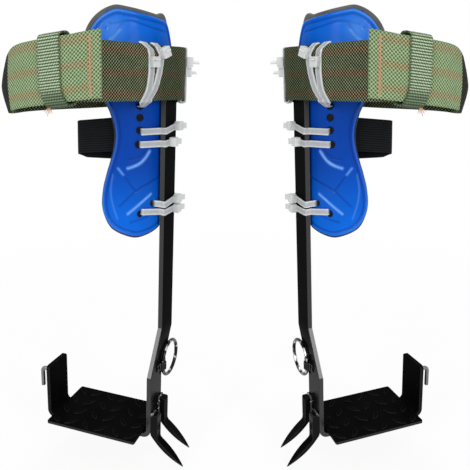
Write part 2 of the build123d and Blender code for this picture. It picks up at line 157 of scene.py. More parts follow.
def black_enamel(name, bare, low_gloss, side_gloss_and_highlight, foot=-0.06):
    """Black enamel: a gloss coat and a lighter grey painted highlight on the bars' narrow sides, and a gloss
    coat on their faces from a foot to the ankle.
    """
    constants = {"IOR": 1.06, "Specular IOR Level": 0.12, "Coat Roughness": 0.24}
    dull, cloudy, painted_highlight_grey = (0.0015, 0.0015, 0.0017), (0.0045, 0.0045, 0.005), (0.02, 0.02, 0.021)
    gloss_fades, gloss_ends, foot_fade = 0.055, 0.115, 0.012
    finish, rounded, rubbed, shade = metal(name, constants, edge_radius=0.001, wear=0.03)
    front = finish.part(finish.node("ShaderNodeNewGeometry", out="Normal"), "Y")
    side = finish.rise(front * front, 0.4, 0.75)
    height = finish.part(finish.place(), "Z")
    low = low_gloss * (1 - finish.rise(height, gloss_fades, gloss_ends))
    low = low * finish.rise(height, foot - foot_fade, foot)
    # The narrow sides, which face front and back, are painted a lighter grey: a painted highlight.
    enamel_with_painted_highlight = finish.blend(side_gloss_and_highlight * side, finish.blend(shade, dull, cloudy), painted_highlight_grey)
    finish.feed("Base Color", finish.blend(rubbed, enamel_with_painted_highlight, bare))
    finish.feed("Roughness", 0.32 + 0.16 * shade + 0.1 * rubbed)
    finish.feed("Coat Weight", side_gloss_and_highlight * side + low * (1 - side))
    finish.relief(finish.grain(0.0012, 2), 0.00002, 0.4, rounded)
    return finish


spike_steel = (0.05, 0.05, 0.052)
black_enamel("shank_enamel", (0.14, 0.14, 0.14), low_gloss=0.3, side_gloss_and_highlight=0.85).paint("shank")
black_enamel("clip_enamel", (0.3, 0.3, 0.3), low_gloss=0.3, side_gloss_and_highlight=0.4).paint("ring_clip")
front_enamel = black_enamel("front_spike_enamel", spike_steel, low_gloss=0.3, side_gloss_and_highlight=0.12, foot=0.004)
front_enamel.paint("front_spike")
# The rear spike's enamel has less coat and less painted highlight than the front spike's, so it reads
# darker: painted shade.
black_enamel("rear_spike_enamel", spike_steel, low_gloss=0.05, side_gloss_and_highlight=0.1).paint("rear_spike")
black_enamel("plate_enamel", (0.03, 0.03, 0.031), low_gloss=0.0, side_gloss_and_highlight=0.4).paint("tread_plate")
black_enamel("upright_enamel", (0.04, 0.04, 0.041), low_gloss=0.0, side_gloss_and_highlight=0.15).paint("outer_upright")


# Weld beads: run down the free side and over the top of each spike's leg, and round the hook's root.
# Arc welds lie as overlapping half-round ripples, which shine through a thick coat of black enamel; pale
# grey specks on them are painted glints.
half_spacing, pair_lean, toe_out, millimetre = 0.1515, 2.9, 15.9, 0.001
stance = Matrix.Translation((-half_spacing, 0, 0)) @ Matrix.Rotation(math.radians(pair_lean), 4, "Y")
stance @= Matrix.Rotation(math.radians(-toe_out), 4, "Z") @ Matrix.Scale(millimetre, 4)


def set_into_pair(name, shape, finish, body="climbers", stands_for=()):
    """Writes a shape drawn in one climber's millimetres as its left and mirrored right piece."""
    pair = []
    for side, hand in (("left", 1), ("right", -1)):
        copy = shape.copy()
        copy.transform(Matrix.Diagonal((hand, 1, 1, 1)) @ stance)
        if hand < 0:
            bmesh.ops.reverse_faces(copy, faces=copy.faces)
        for face in copy.faces:
            face.smooth = True
        mesh = bpy.data.meshes.new(f"{side}_{name}")
        copy.to_mesh(mesh)
        copy.free()
        mesh.materials.append(finish.material)
        piece = bpy.data.objects.new(mesh.name, mesh)
        bpy.context.collection.objects.link(piece)
        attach(piece, body if body == "climbers" else f"{side}_{body}")
        for node in stands_for:
            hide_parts(f"{side}_{node}")
        pair.append(piece)
    shape.free()
    return pair


def bead_row(shape, start, end, width):
    """Overlapping weld ripples from one point to another."""
    pitch = width * 0.4
    start, end = Vector(start), Vector(end)
    ripples = round((end - start).length / pitch)
    for i in range(ripples + 1):
        size = width / 2 * random.uniform(0.9, 1.1)
        spot = Matrix.Translation(start.lerp(end, i / ripples))
        bmesh.ops.create_icosphere(shape, subdivisions=2, radius=size, matrix=spot)


random.seed(4)
bead, shank_out, cap_rise = 3.4, 65, 0.2
front_leg, rear_leg = (-5.7, (-14.5, -5.7), (-2, 22)), (3.7, (3.7, 12.5), (8, 32))
welds = bmesh.new()
for side, (left, right), (low, top) in (front_leg, rear_leg):
    bead_row(welds, (shank_out, side, low), (shank_out, side, top), bead)
    bead_row(welds, (shank_out, left, top + cap_rise), (shank_out, right, top + cap_rise), bead)
(root_x, root_y, root_z), root_radius, root_bead, root_ripples = (-63.6, -12, 50), 2.6, 1.2, 12
for turn in range(root_ripples):
    angle = turn * math.tau / root_ripples
    spot = (root_x, root_y + root_radius * math.cos(angle), root_z + root_radius * math.sin(angle))
    bmesh.ops.create_icosphere(welds, subdivisions=2, radius=root_bead, matrix=Matrix.Translation(spot))

slag = Finish("weld_enamel", {"IOR": 1.3, "Coat Weight": 0.9, "Coat Roughness": 0.07})
slag_shade = slag.grain(0.004, 3)
# Painted glints: small pale grey specks on the black beads.
slag_painted_glints = slag.rise(slag.grain(0.003, 2), 0.6, 0.66)
slag_black = slag.blend(slag_shade, (0.002, 0.002, 0.002), (0.02, 0.02, 0.021))
slag.feed("Base Color", slag.blend(slag_painted_glints, slag_black, (0.55, 0.55, 0.55)))
slag.feed("Roughness", 0.2 + 0.3 * slag_shade)
slag.relief(slag.grain(0.001, 3), 0.0002, 0.6)
set_into_pair("weld_beads", welds, slag)


# Strap hook: a zinc-plated rod bent down on the outside of the upright.
# The plating is grainy and dull grey, brighter where straps rub it.
zinc, zinc_edge, zinc_rubbed, zinc_shade = metal("grey_zinc", {"Metallic": 1.0}, 0.0006, 0.05)
zinc_body = zinc.blend(zinc.grain(0.006, 3), (0.1, 0.1, 0.103), (0.3, 0.3, 0.31))
zinc.feed("Base Color", zinc.blend(zinc_rubbed, zinc_body, (0.5, 0.5, 0.5)))
zinc.feed("Roughness", 0.26 + 0.2 * zinc_shade)
zinc.relief(zinc.grain(0.0015, 4), 0.00005, 0.6, zinc_edge)
zinc.paint("strap_hook")


# Ring: a welded round-wire ring that swings in the clip on the shank.
# Bright nickel plating, worn on its edges, painted mostly near-black as a painted dark reflection, with
# bright patches as painted highlights.
nickel, nickel_edge, nickel_rubbed, nickel_shade = metal("bright_nickel", {"Metallic": 1.0}, 0.0004, 0.05)
# Painted reflection: near-black metal, with bright patches as painted highlights.
nickel_painted_highlights = nickel.rise(nickel.grain(0.009, 2), 0.5, 0.64)
nickel_painted_reflection = nickel.blend(nickel_painted_highlights, (0.022, 0.022, 0.023), (0.7, 0.7, 0.69))
nickel.feed("Base Color", nickel.blend(nickel_rubbed, nickel_painted_reflection, (0.8, 0.8, 0.8)))
nickel.feed("Roughness", 0.1 + 0.2 * nickel_shade)
nickel.relief(nickel.grain(0.004, 2), 0.00004, 0.5, nickel_edge)
nickel.paint("ring")


# Shin pad shell: one blue plastic moulding, wrapped round the front of the leg and cut like a shoe sole.
# Its edge is a rolled bead with a groove inside it; ridges, dots and eyelets are moulded in.
leg_axis = Vector((3.7, 31.4))
pad_radius, shell_wall = 55, 2.1
pad_facing = math.radians(35)
pad_top, top_start, top_fall = 443.5, -27, 15 / 137
# Each hole is an angle round the leg and a height, and each corner a way round the leg and a height.
hole_radius = 3.75
upper_hole, middle_hole, lower_back_hole, lower_front_hole = 331.8, 317.8, 256.5, 247
tie_holes = [(-42, upper_hole), (-43.3, middle_hole), (-25.4, lower_back_hole), (-40.7, lower_front_hole)]
pad_holes = tie_holes + [(-42, 344), (-41.9, 355.5), (-41.9, 404), (-31.6, 404)]
pad_corners = [(66, 233), (72, 440), (6, 437), (17, 229)]


def fair_line(points, count):
    """A smooth line through the points, as many points long as asked."""
    points = np.array(points, float)
    steps = np.hypot(*np.diff(points, axis=0).T)
    along = np.concatenate([[0], np.cumsum(steps)])
    last = len(points) - 1
    system = np.eye(last + 1)
    target = np.zeros((last + 1, 2))
    slopes = np.diff(points, axis=0) / steps[:, None]
    for i in range(1, last):
        system[i, i - 1 : i + 2] = steps[i - 1], 2 * (steps[i - 1] + steps[i]), steps[i]
        target[i] = 6 * (slopes[i] - slopes[i - 1])
    bending = np.linalg.solve(system, target)
    spots = np.linspace(0, along[-1], count)
    span = np.clip(np.searchsorted(along, spots) - 1, 0, last - 1)
    step = steps[span][:, None]
    before = (along[span + 1] - spots)[:, None]
    after = (spots - along[span])[:, None]
    line = (bending[span] * before**3 + bending[span + 1] * after**3) / (6 * step)
    line += (points[span] / step - bending[span] * step / 6) * before
    line += (points[span + 1] / step - bending[span + 1] * step / 6) * after
    return line


def even_line(line, count):
    """The same line with its points evenly spaced."""
    gone = np.concatenate([[0], np.cumsum(np.hypot(*np.diff(line, axis=0).T))])
    spots = np.linspace(0, gone[-1], count)
    return np.column_stack([np.interp(spots, gone, line[:, 0]), np.interp(spots, gone, line[:, 1])])


def top_height(along):
    """Height of the pad's sloping top edge at a way round the leg."""
    across = pad_radius * np.sin(pad_facing - along / pad_radius)
    return pad_top - (across - top_start) * top_fall


# The pad's front edge as it is seen from its facing, and its back edge from the side.
front_edge = [(-10, 223), (-29.5, 232), (-38.5, 267), (-28.3, 328), (-47.6, 421), (-39.6, 435.5)]
front_edge.append((top_start, pad_top))
back_edge = [(-36, 223), (-18, 228.5), (18, 267), (6, 324), (10, 398), (0.5, 426), (-11, pad_top)]


def pad_outline(roll, top_shift):
    """The pad's closed outline, its front edge rolled on by so much at each height of the roll."""
    edge_points, top_points, outline_points, spare, softness = 400, 120, 1600, 0.5, 8
    front = fair_line(front_edge, edge_points)
    front[:, 0] = pad_radius * (pad_facing - np.arcsin(front[:, 0] / pad_radius))
    front[:, 0] += np.interp(front[:, 1], *zip(*roll))
    back = fair_line(back_edge, edge_points)
    flank = back[:, 0]
    back[:, 0] = np.where(flank < 0, -pad_radius * np.arcsin(np.minimum(flank, 0) / pad_radius), -flank)
    back = back[::-1]
    front = front[front[:, 1] < top_height(front[:, 0]) + top_shift + spare]
    back = back[back[:, 1] < top_height(back[:, 0]) + top_shift + spare]
    top = np.linspace(front[-1, 0], back[0, 0], top_points)[1:-1]
    top = np.column_stack([top, top_height(top) + top_shift])
    closed = even_line(np.concatenate([front, top, back, front[:1]]), outline_points + 1)[:-1]
    # The corners are rounded off by taking the sharp turns out of the closed line.
    turns = np.fft.fft(closed[:, 0] + 1j * closed[:, 1])
    smooth = np.fft.ifft(turns * np.exp(-2 * (np.pi * np.fft.fftfreq(len(turns)) * softness) ** 2))
    return np.column_stack([smooth.real, smooth.imag])


def pad_sheet(outline, columns, rows, holes=()):
    """A flat sheet of that outline, pierced: x is the way round the leg and y the height."""
    rim_reach = 1.6 * hole_radius
    chin, brow, nape, heel = (np.argmin(np.hypot(*(outline - spot).T)) for spot in pad_corners)

    def side(first, last, count):
        walk = np.roll(outline, -first, axis=0)[: (last - first) % len(outline) + 1]
        return even_line(walk, count + 1)

    bottom, front = side(heel, chin, columns), side(chin, brow, rows)
    top, back = side(brow, nape, columns)[::-1], side(nape, heel, rows)[::-1]
    sheet = bmesh.new()
    bmesh.ops.create_grid(sheet, x_segments=columns, y_segments=rows, size=0.5)
    for vert in sheet.verts:
        u, v = vert.co.x + 0.5, vert.co.y + 0.5
        column, row = round(u * columns), round(v * rows)
        spot = (1 - v) * bottom[column] + v * top[column] + (1 - u) * back[row] + u * front[row]
        spot -= (1 - v) * ((1 - u) * bottom[0] + u * bottom[-1]) + v * ((1 - u) * top[0] + u * top[-1])
        vert.co.xy = spot
    for angle, height in holes:
        middle = Vector((-math.radians(angle) * pad_radius, height, 0))
        inside = [v for v in sheet.verts if (v.co - middle).length < hole_radius]
        bmesh.ops.delete(sheet, geom=inside, context="VERTS")
        for vert in sheet.verts:
            away = vert.co - middle
            if vert.is_boundary and away.length < rim_reach:
                vert.co = middle + away.normalized() * hole_radius
    return sheet


def on_pad(radius, along, height):
    """A point of the pad: round the leg in front, straight back on the flank."""
    angle = -max(along, 0) / pad_radius
    x = leg_axis.x + radius * math.cos(angle)
    y = leg_axis.y + radius * math.sin(angle) - min(along, 0)
    return Vector((x, y, height))


def stroke_distance(spots, stroke):
    """Distance of each spot from a line of points."""
    nearest = np.full(len(spots), 1e9)
    for start, end in zip(stroke[:-1], stroke[1:]):
        run = end - start
        share = np.clip((spots - start) @ run / (run @ run), 0, 1)
        nearest = np.minimum(nearest, np.hypot(*(spots - start - share[:, None] * run).T))
    return nearest


def hump(distance, middle, width):
    """A smooth hump that is 1 at the middle distance and fades over the width."""
    return np.exp(-(((distance - middle) / width) ** 2))


shell_roll = [(300, 1.5), (335, 0.5), (365, 0.5), (420, -2.5), (pad_top, -1)]
shell_outline = pad_outline(shell_roll, top_shift=-1)
shell = pad_sheet(shell_outline, 116, 250, pad_holes)
shell.verts.ensure_lookup_table()
spots = np.array([v.co.xy for v in shell.verts])
tree = KDTree(len(shell_outline))
for i, spot in enumerate(shell_outline):
    tree.insert((*spot, 0), i)
tree.balance()
inset = np.array([tree.find((*spot, 0))[2] for spot in spots])

# Moulded relief: the rolled bead and its groove, then ridges and grooves of the two lobes.
lift = -1.2 * np.clip(1 - inset / 1.6, 0, 1) ** 2
lift += 0.4 * hump(inset, 2.2, 1.1)
lift -= 0.7 * hump(inset, 4.6, 0.7)
# Painted highlight: a lighter blue along the bead at the front top and in soft patches on the upper lobe.
painted_highlight = hump(inset, 1.5, 0.7) * np.clip((spots[:, 0] - 40) / 20, 0, 1)
painted_highlight *= np.interp(spots[:, 1], [350, 380], [0.2, 0.4])
# Painted shade: a darker blue in the groove inside the bead, and below in the moulded grooves and dimples.
painted_recess_shade = 0.5 * hump(inset, 4.6, 1.1)
for painted_highlight_strength, reach, spot in [(0.3, 12, (66, 424)), (0.25, 7, (68, 410)), (0.12, 14, (48, 405))]:
    painted_highlight = np.maximum(painted_highlight, painted_highlight_strength * hump(np.hypot(*(spots - spot).T), 0, reach))
# Height, width, painted light and line of each ridge: a ridge gets a painted highlight, and a groove, which
# has a height below 0, gets painted shade.
ridges = [
    (0.8, 1.3, 0.8, [(29, 310.8), (39.1, 299.4), (52.2, 294.3)]),
    (0.4, 1.1, 0.5, [(61.5, 294.2), (56.6, 287.8)]),
    (-0.6, 0.9, 0.5, [(56.6, 287.8), (44.5, 271)]),
    (-0.6, 0.9, 0.5, [(44.5, 271), (60.6, 255.8)]),
    (-0.6, 1.1, 0.6, [(17.9, 282.3), (37.4, 274.5), (43.1, 271.1)]),
    (-0.4, 0.9, 0.4, [(33, 311), (44, 304), (52, 303)]),
    (0.8, 1.2, 0.8, [(27.2, 266.6), (39.8, 257.4), (52.2, 247.7)]),
    (-0.4, 1.2, 0.45, [(49.2, 238.5), (33, 242.9), (18.8, 251)]),
    (0.5, 2.0, 0.5, [(59.5, 423.5), (67.7, 414.2)]),
    (-0.5, 0.9, 0.55, [(57.5, 429.5), (65.5, 417)]),
    (-0.4, 0.9, 0.5, [(65.7, 428.4), (52.2, 432), (30.5, 428.8), (10.5, 426.5)]),
    (0.25, 0.9, 0.2, [(66.7, 287.6), (68.8, 272.4), (66.9, 257.1), (62.5, 242.7)]),
]
for height, width, painted_light_amount, stroke in ridges:
    line = fair_line(stroke, 24) if len(stroke) > 2 else np.array(stroke, float)
    shape = hump(stroke_distance(spots, line), 0, width)
    lift += height * shape
    if height > 0:
        painted_highlight = np.maximum(painted_highlight, painted_light_amount * shape)
    else:
        painted_recess_shade = np.maximum(painted_recess_shade, painted_light_amount * shape)
for angle, height in pad_holes:
    away = np.hypot(*(spots - (-math.radians(angle) * pad_radius, height)).T)
    lift += 0.45 * hump(away, 4.8, 0.7)
for dimple in [(72.1, 424.5), (67.6, 428.2)]:
    dent = hump(np.hypot(*(spots - dimple).T), 0, 1.2)
    lift -= 0.7 * dent
    painted_recess_shade = np.maximum(painted_recess_shade, 0.8 * dent)

# The moulding lies flat where the ties run from their holes to the shank.
flat_half, flat_ahead, flat_fade = 6.5, 3, 2
for angle, height in tie_holes:
    start = -math.radians(angle) * pad_radius
    level_with = np.clip((flat_half - np.abs(spots[:, 1] - height)) / flat_fade, 0, 1)
    behind = np.clip((start + flat_ahead - spots[:, 0]) / flat_fade, 0, 1)
    lift -= level_with * behind * np.maximum(lift, 0)

painted_highlight_layer = shell.verts.layers.float.new("painted_highlight")
painted_recess_shade_layer = shell.verts.layers.float.new("painted_recess_shade")
for vert, (along, height), rise, gleam, shade in zip(shell.verts, spots, lift, painted_highlight, painted_recess_shade):
    vert.co = on_pad(pad_radius + rise, along, height)
    vert[painted_highlight_layer] = gleam
    vert[painted_recess_shade_layer] = shade
bmesh.ops.reverse_faces(shell, faces=shell.faces)

blue = Finish("blue_moulding", {"IOR": 1.12, "Coat Roughness": 0.15})
blue_cloud = blue.grain(0.04, 2)
blue_painted_highlight = blue.node("ShaderNodeAttribute", {"attribute_name": "painted_highlight"}, None, "Fac")
blue_painted_recess_shade = blue.node("ShaderNodeAttribute", {"attribute_name": "painted_recess_shade"}, None, "Fac")
blue_height = blue.part(blue.place(), "Z")
# Painted shadow: the neck between the two lobes, under the belt, is a darker blue than the lobes.
blue_ends = blue.rise(abs(blue_height - 0.325), 0.02, 0.105)
blue_neck_painted_shadow = blue.blend(blue_cloud, (0.001, 0.043, 0.31), (0.002, 0.06, 0.41))
blue_lobe = blue.blend(blue_cloud, (0.001, 0.1, 0.57), (0.002, 0.15, 0.72))
blue_body = blue.blend(blue_ends, blue_neck_painted_shadow, blue_lobe)
# Painted shade: a darker blue in the grooves and dimples.
blue_body = blue.blend(blue_painted_recess_shade, blue_body, (0.001, 0.022, 0.2))
# Painted highlight: a lighter blue on the ridges, the front of the bead and patches of the upper lobe.
blue.feed("Base Color", blue.blend(blue_painted_highlight, blue_body, (0.16, 0.42, 0.95)))
blue.feed("Roughness", 0.24 + 0.14 * blue_cloud)
blue.feed("Coat Weight", 0.07 + 0.4 * blue_painted_highlight)
blue.relief(blue.grain(0.0009, 3), 0.00005, 0.4)


def thicken(pieces, wall, inward=0.0):
    """Gives sheets their wall, centred or to one side."""
    for piece in pieces:
        wall_of = piece.modifiers.new("wall", "SOLIDIFY")
        wall_of.thickness = wall * millimetre
        wall_of.offset = inward


shell_pair = set_into_pair("blue_shell", shell, blue, stands_for=["pad_shell"])
thicken(shell_pair, shell_wall, inward=-1.0)


# Shin pad liner: soft grey foam, die-cut a little larger than the shell and glued inside it.
# Its rim shows as a rounded grey lip all round the blue moulding, curled up at the top corner; low down the
# lip is painted nearly black as painted shade, and painted shade darkens the foam round the eyelets.
foam_radius, foam_wall, foam_rim = 52.6, 5.6, 2.5
foam_curl, curl_spot, curl_reach = 3.2, (11, 438), 4.5
hole_shadow, edge_wave, wave_pace = 4.5, 0.5, 0.08
foam_outline = pad_outline([(240, 0.6), (300, 0), (352, -0.6), (375, 2.8)], top_shift=0.4)
way = np.roll(foam_outline, -1, axis=0) - np.roll(foam_outline, 1, axis=0)
outward = np.column_stack([way[:, 1], -way[:, 0]]) / np.hypot(*way.T)[:, None]
curl = hump(np.hypot(*(foam_outline - curl_spot).T), 0, curl_reach)
liner = pad_sheet(foam_outline + outward * (foam_rim + foam_curl * curl)[:, None], 44, 110)
painted_hole_shade_layer = liner.verts.layers.float.new("dusk")
for vert in liner.verts:
    along, height = vert.co.xy
    # Painted shade: the foam darkens round each eyelet, where it shows through the shell.
    away = min(math.hypot(along + math.radians(a) * pad_radius, height - h) for a, h in pad_holes)
    vert[painted_hole_shade_layer] = math.exp(-((away / hole_shadow) ** 4))
    wave = noise.noise((along * wave_pace, height * wave_pace, 3)) if vert.is_boundary else 0
    vert.co = on_pad(foam_radius, along + edge_wave * wave, height)
bmesh.ops.reverse_faces(liner, faces=liner.faces)

foam = Finish("grey_foam", {"IOR": 1.2, "Sheen Weight": 0.15, "Sheen Roughness": 0.6})
foam_cell = foam.node("ShaderNodeTexVoronoi", None, {"Vector": foam.place(), "Scale": 1100.0})
foam_patch = foam.grain(0.012, 3)
foam_painted_hole_shade = foam.node("ShaderNodeAttribute", {"attribute_name": "dusk"}, None, "Fac")
# Painted shade: low down on the pad the foam is painted nearly black.
foam_painted_low_shade = 1 - foam.rise(foam.part(foam.place(), "Z"), 0.33, 0.37)
foam_skin = foam.blend(foam_patch, (0.06, 0.063, 0.06), (0.145, 0.15, 0.14))
foam_skin = foam.blend(0.8 * foam_painted_low_shade, foam_skin, (0.012, 0.011, 0.01))
foam.feed("Base Color", foam.blend(foam_painted_hole_shade, foam_skin, (0.006, 0.006, 0.007)))
foam.feed("Roughness", 0.8 + 0.18 * foam_patch)
foam.relief(foam_cell, 0.0003, 0.7)
liner_pair = set_into_pair("foam_liner", liner, foam, stands_for=["pad_liner"])
thicken(liner_pair, foam_wall, inward=-1.0)
for piece in liner_pair:
    soft = piece.modifiers.new("soft_edges", "SUBSURF")
    soft.levels = soft.render_levels = 1


# Elastic band: black ribbed webbing that leaves the back of the pad, folds and comes back to its rear edge.
# Woven rubber and polyester, sewn flat, with fine ribs along its length.
class Course:
    """The line of a strip in its own plane, laid as straight runs and round turns, in millimetres."""

    def __init__(self, x, y, heading):
        self.parts = []
        self.spot = Vector((x, y))
        self.heading = math.radians(heading)
        self.length = 0

    def turn(self, radius, angle):
        """Turns left through a positive angle, right through a negative one."""
        return self.lay(radius * math.radians(abs(angle)), math.copysign(1 / radius, angle))

    def run(self, length):
        return self.lay(length, 0)

    def lay(self, length, curve):
        self.parts.append((self.length, self.spot, self.heading, curve))
        self.length += length
        self.spot, self.heading = self.at(self.length)
        return self

    def at(self, distance):
        """Point and heading at a distance from the start."""
        start, spot, heading, curve = [p for p in self.parts if p[0] <= max(distance, 0)][-1]
        gone = distance - start
        if curve == 0:
            return spot + gone * Vector((math.cos(heading), math.sin(heading))), heading
        end = heading + curve * gone
        step = Vector((math.sin(end) - math.sin(heading), math.cos(heading) - math.cos(end)))
        return spot + step / curve, end


def strip(course, width, lanes, pitch, sway=None):
    """A flat strip on a course: its UV map holds the way along it and across it in metres."""
    sheet = bmesh.new()
    count = math.ceil(course.length / pitch)
    bmesh.ops.create_grid(sheet, x_segments=count, y_segments=lanes, size=0.5)
    flat_map = sheet.loops.layers.uv.new("UVMap")
    for face in sheet.faces:
        for loop in face.loops:
            x, y = loop.vert.co.xy
            loop[flat_map].uv = ((x + 0.5) * course.length * millimetre, (y + 0.5) * width * millimetre)
    for vert in sheet.verts:
        gone, across = (vert.co.x + 0.5) * course.length, vert.co.y * width
        spot, heading = course.at(gone)
        side = Vector((-math.sin(heading), math.cos(heading), 0))
        vert.co = Vector((spot.x, spot.y, across))
        if sway:
            push, lift = sway(gone, across)
            vert.co += side * push + Vector((0, 0, lift))
    bmesh.ops.recalc_face_normals(sheet, faces=sheet.faces)
    return sheet


band_width, band_wall, band_middle = 33, 1.9, 318.5
band_reach, band_root = 45.7, -51
root_angle = math.radians(band_root)
root = leg_axis + band_reach * Vector((math.cos(root_angle), math.sin(root_angle)))
band_course = Course(*root, band_root - 90)
band_course.turn(band_reach, -11).turn(10, -31).run(40)
band_fold = band_course.length
band_course.turn(4, -155).run(62.5).turn(14, 52).run(10.7)


def band_sway(gone, across):
    """The front run climbs to the pad and the rear run hangs a little lower."""
    places = [0, 14, band_fold, band_fold + 14, band_fold + 60, band_course.length]
    slack = np.interp(gone, places, [9, 8, 2.5, -3, -4, 0])
    return 0.4 * noise.noise((gone * 0.05, across * 0.05, 7)), float(slack)


band = strip(band_course, band_width, 14, 2.0, band_sway)
bmesh.ops.translate(band, verts=band.verts, vec=(0, 0, band_middle))

rubber = Finish("black_elastic", {"IOR": 1.1, "Sheen Weight": 0.06, "Sheen Roughness": 0.5})
rubber_map = rubber.node("ShaderNodeUVMap", {"uv_map": "UVMap"})
rubber_along, rubber_across = rubber.part(rubber_map, "X"), rubber.part(rubber_map, "Y")
rubber_rib = 0.5 + 0.5 * rubber_across.math("SINE", rubber_across * (math.tau / 0.0023))
rubber_pick = rubber_along.math("SINE", rubber_along * (math.tau / 0.0011))
rubber_shade = rubber.grain(0.01, 3)
# Painted highlight: the rib tops are painted a lighter grey than the black between them.
rubber_rib_painted_highlight = rubber_rib * (0.5 + rubber_shade)
rubber.feed("Base Color", rubber.blend(rubber_rib_painted_highlight, (0.0022, 0.0027, 0.0033), (0.011, 0.0125, 0.015)))
rubber.feed("Roughness", 0.6 + 0.25 * rubber_shade)
rubber.relief(rubber_rib + 0.25 * rubber_pick, 0.0003, 0.8)
band_pair = set_into_pair("elastic", band, rubber, stands_for=["elastic_band"])
thicken(band_pair, band_wall)


# Calf belt: one strip of two-inch polyester webbing, closed on itself as a loop round the calf.
# Green twill with three rust stripes, pale on the flap and darker where it runs to the shank.
belt_width, belt_wall = 51, 2.4
belt_heading = math.radians(244)
belt_fall, belt_roll = math.tan(math.radians(2)), math.tan(math.radians(9.5))
level_along = Vector((math.cos(belt_heading), math.sin(belt_heading), 0))
level_front = Vector((-math.sin(belt_heading), math.cos(belt_heading), 0))
belt_along = (level_along - Vector((0, 0, belt_fall))).normalized()
belt_up = (Vector((0, 0, 1)) + level_along * belt_fall - level_front * belt_roll).normalized()
belt_place = Matrix((belt_along, belt_up.cross(belt_along), (0, 0, 1))).transposed().to_4x4()
belt_place.translation = (46.9, 27.8, 383.2)

shank_turn = 25
belt_course = Course(103.63, 58.87, -41.3).turn(114, -47.4)
far_turn = belt_course.length + 12
turn_start, turn_end = 247, 321
belt_course.turn(12, -96.3).run(132).turn(shank_turn, -170.2).run(118.8).turn(6, -68.8).run(26.8)


def belt_sway(gone, across):
    """The worn strap waves a little, swells at its turns, and its upper edge sinks at the far turn."""
    flap_flat, flap_slack, flare_reach = 18, 25, 26
    fold_reach, swell_reach, turn_fade = 17, 15, 14
    edge = across / belt_width * 2
    slack = min(max((gone - flap_flat) / flap_slack, 0), 1)
    fold = math.exp(-(((gone - far_turn) / fold_reach) ** 2)) * max(edge + 0.4, 0) ** 1.5
    swell = math.exp(-(((gone - far_turn) / swell_reach) ** 2))
    tuck = swell * max(-edge - 0.1, 0) ** 1.5
    into_turn = min(max((gone - turn_start) / turn_fade, 0), 1)
    near_turn = into_turn * min(max((turn_end - gone) / turn_fade, 0), 1)
    wave = 0.3 * slack * noise.noise((gone * 0.03, across * 0.05, 11))
    drift = 0.5 * noise.noise((gone * 0.02, 0, 5))
    flare = max(1 - gone / flare_reach, 0) * (1.4 + edge)
    push = wave + 3.2 * swell - 3.4 * fold + 2.6 * near_turn - 6.5 * tuck
    return push, drift - 7 * fold - 2 * tuck + flare


webbing = strip(belt_course, belt_width, 26, 1.8, belt_sway)
bmesh.ops.transform(webbing, matrix=belt_place, verts=webbing.verts)

green = Finish("green_webbing", {"IOR": 1.16, "Sheen Weight": 0.07, "Sheen Roughness": 0.5})
green_map = green.node("ShaderNodeUVMap", {"uv_map": "UVMap"})
green_along, green_across = green.part(green_map, "X"), green.part(green_map, "Y")
twill_pitch = 0.0031
first_twill = green_along.math("SINE", (green_along + green_across) * (math.tau / twill_pitch))
second_twill = green_along.math("SINE", (green_along - green_across) * (math.tau / twill_pitch))
green_yarn = 0.5 + 0.27 * first_twill + 0.23 * second_twill
green_fuzz = green.grain(0.0008, 3)
green_patch = green.grain(0.008, 3)
green_dark = green.rise(green_along, 0.1, 0.116)
stripe = 0.0
for share in (0.13, 0.48, 0.85):
    distance = abs(green_across - (share + 0.05 * (1 - green_dark)) * (belt_width * millimetre))
    stripe = green.rise(distance, 0.0042, 0.0016) + stripe
stripe = stripe * green.rise(green_along, 0.0085, 0.0095)
seam_run = green.rise(abs(green_across - 0.0265), 0.0225, 0.02)
seam = green.rise(abs(green_along - 0.0088), 0.0034, 0.0012) * seam_run
stripe = stripe.math("MAXIMUM", stripe, 0.9 * seam) * (0.3 + 0.65 * green_patch)
yarn_top = green.rise(green_yarn + 0.3 * (green_fuzz - 0.5) - 0.1 * green_dark, 0.32, 0.64)
pale = green.blend(green_patch, (0.27, 0.375, 0.195), (0.38, 0.48, 0.28))
deep = green.blend(green_patch, (0.15, 0.2, 0.095), (0.34, 0.37, 0.22))
rust = green.blend(green_dark, (0.45, 0.28, 0.155), (0.4, 0.22, 0.12))
ground = green.blend(green_dark, (0.07, 0.115, 0.047), (0.002, 0.005, 0.0015))
face = green.blend(stripe, green.blend(green_dark, pale, deep), rust)
dusk = green_dark * (1 - green.rise(green_along, 0.335, 0.362))
# Painted shade: the webbing is painted nearly black where it turns away at the far end of the loop.
painted_turn_shade = green.rise(green_along, 0.0888, 0.0904) * (1 - green.rise(green_along, 0.101, 0.105))
woven = green.blend(yarn_top, ground, green.blend(0.55 * dusk, face, (0.02, 0.045, 0.015)))
green.feed("Base Color", green.blend(0.96 * painted_turn_shade, woven, (0.003, 0.004, 0.002)))
green.feed("Roughness", 0.72 + 0.2 * green_fuzz)
green.relief(green_yarn + 0.4 * green_fuzz, 0.0006, 0.9)
belt_pair = set_into_pair("webbing", webbing, green, stands_for=["calf_belt"])
thicken(belt_pair, belt_wall)


# Flap stitching: a zigzag of orange thread across the flap, just behind its heat-cut end.
# Bonded polyester thread, each stitch pulled a little into the webbing.
stitch_row, stitch_pitch, stitch_slant, stitch_half = 8.6, 1.5, 40, (2, 0.42, 0.36)
stitch_span, stitch_proud = belt_width - 6, 0.1


def lay_thread(shape, spot, along, out, half):
    """One length of thread, thickest in its middle, along one direction and flat to another."""
    turned = Matrix((along, out, along.cross(out))).transposed().to_4x4()
    lie = Matrix.Translation(spot) @ turned @ Matrix.Diagonal((*half, 1))
    bmesh.ops.create_icosphere(shape, subdivisions=2, radius=1, matrix=lie)


